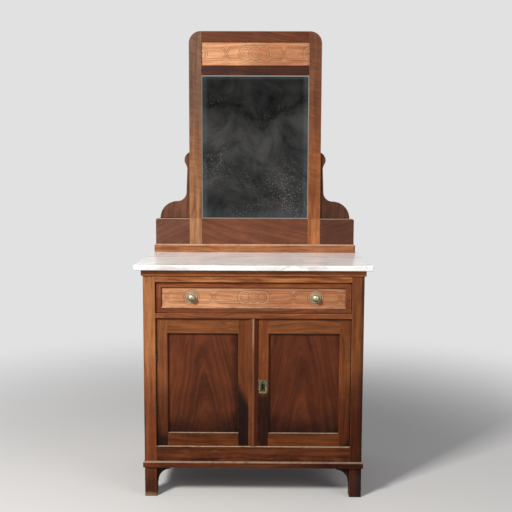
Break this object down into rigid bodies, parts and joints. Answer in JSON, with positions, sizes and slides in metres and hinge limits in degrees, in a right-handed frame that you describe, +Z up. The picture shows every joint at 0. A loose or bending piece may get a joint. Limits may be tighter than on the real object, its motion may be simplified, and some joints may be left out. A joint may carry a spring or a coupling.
{
  "type": "washstand with mirror",
  "caption": "Free-standing washstand: square-post case with a marble top, a full-width drawer over panelled doors, and a tall fixed mirror with scroll brackets behind.",
  "frame": {"origin": "on the floor, under the middle of the whole object", "axes": "+Z up, the front faces -Y, +X to the right seen from the front"},
  "size_m": [0.9, 0.518, 1.847],
  "materials": {
    "post_walnut": "worn shellac",
    "rail_walnut": "worn shellac",
    "dark_walnut": "worn dark shellac",
    "moulding_walnut": "worn shellac, pale edges",
    "board_walnut": "worn shellac",
    "door_walnut": "worn shellac with smoke stains",
    "panel_walnut": "flame-grained, satin",
    "carved_wood": "bare, shallow carving",
    "inside_pine": "bare",
    "marble": "polished, grey veins",
    "mirror_glass": "old silvering",
    "aged_brass": "aged",
    "lock_iron": "dull"
  },
  "bodies": {
    "case": {"back_boards": "inside_pine", "back_top_rail": "inside_pine", "bottom_board": "inside_pine", "bottom_front_rail": "rail_walnut", "cornice_front": "dark_walnut", "cornice_returns": "dark_walnut", "divider_rail": "rail_walnut", "door_stop_strip": "inside_pine", "drawer_kickers": "inside_pine", "drawer_runners": "inside_pine", "dust_board": "inside_pine", "foot_brackets": "moulding_walnut", "front_left_post": "post_walnut", "front_right_post": "post_walnut", "hinge_case_leaves": "aged_brass", "left_side_panel": "panel_walnut", "marble_top": "marble", "mirror_backboard": "inside_pine", "mirror_base_moulding": "moulding_walnut", "mirror_battens": "inside_pine", "mirror_bottom_rail": "board_walnut", "mirror_carved_panel": "carved_wood", "mirror_glass": "mirror_glass", "mirror_middle_rail": "dark_walnut", "mirror_stiles": "post_walnut", "mirror_top_rail": "dark_walnut", "mirror_wings": "board_walnut", "plinth_moulding_front": "moulding_walnut", "plinth_moulding_returns": "moulding_walnut", "rear_posts": "post_walnut", "right_side_panel": "panel_walnut", "scroll_brackets": "board_walnut", "shelf": "inside_pine", "shelf_battens": "inside_pine", "side_bottom_rails": "rail_walnut", "side_top_rails": "rail_walnut", "top_front_rail": "rail_walnut"},
    "drawer": {"drawer_front": "dark_walnut", "drawer_moulding": "dark_walnut", "drawer_carved_panel": "carved_wood", "drawer_sides": "inside_pine", "drawer_back": "inside_pine", "drawer_bottom": "inside_pine", "drawer_knobs": "aged_brass", "knob_rosettes": "aged_brass"},
    "left_door": {"left_hinge_stile": "door_walnut", "left_meeting_stile": "door_walnut", "left_door_rails": "door_walnut", "left_door_panel": "panel_walnut", "left_door_leaves": "aged_brass", "bolt_plate": "lock_iron"},
    "right_door": {"right_hinge_stile": "door_walnut", "right_meeting_stile": "door_walnut", "right_door_rails": "door_walnut", "right_door_panel": "panel_walnut", "right_door_leaves": "aged_brass", "lock_case": "lock_iron", "escutcheon": "aged_brass"},
    "lock_bolt": {"lock_bolt": "lock_iron"},
    "left_bolt": {"left_bolt": "lock_iron"}
  },
  "joints": [
    {"name": "drawer_slide", "type": "slide", "parent": "case", "child": "drawer", "axis": [0, -1, 0], "range_m": [0, 0.3]},
    {"name": "left_door_hinge", "type": "hinge", "parent": "case", "child": "left_door", "pos_m": [-0.373, -0.225, 0.452], "axis": [0, 0, -1], "range_deg": [0, 110]},
    {"name": "right_door_hinge", "type": "hinge", "parent": "case", "child": "right_door", "pos_m": [0.373, -0.225, 0.452], "axis": [0, 0, 1], "range_deg": [0, 110]},
    {"name": "lock_bolt_slide", "type": "slide", "parent": "right_door", "child": "lock_bolt", "axis": [-1, 0, 0], "range_m": [0, 0.008]},
    {"name": "left_bolt_slide", "type": "slide", "parent": "left_door", "child": "left_bolt", "axis": [0, 0, 1], "range_m": [0, 0.01]}
  ]
}
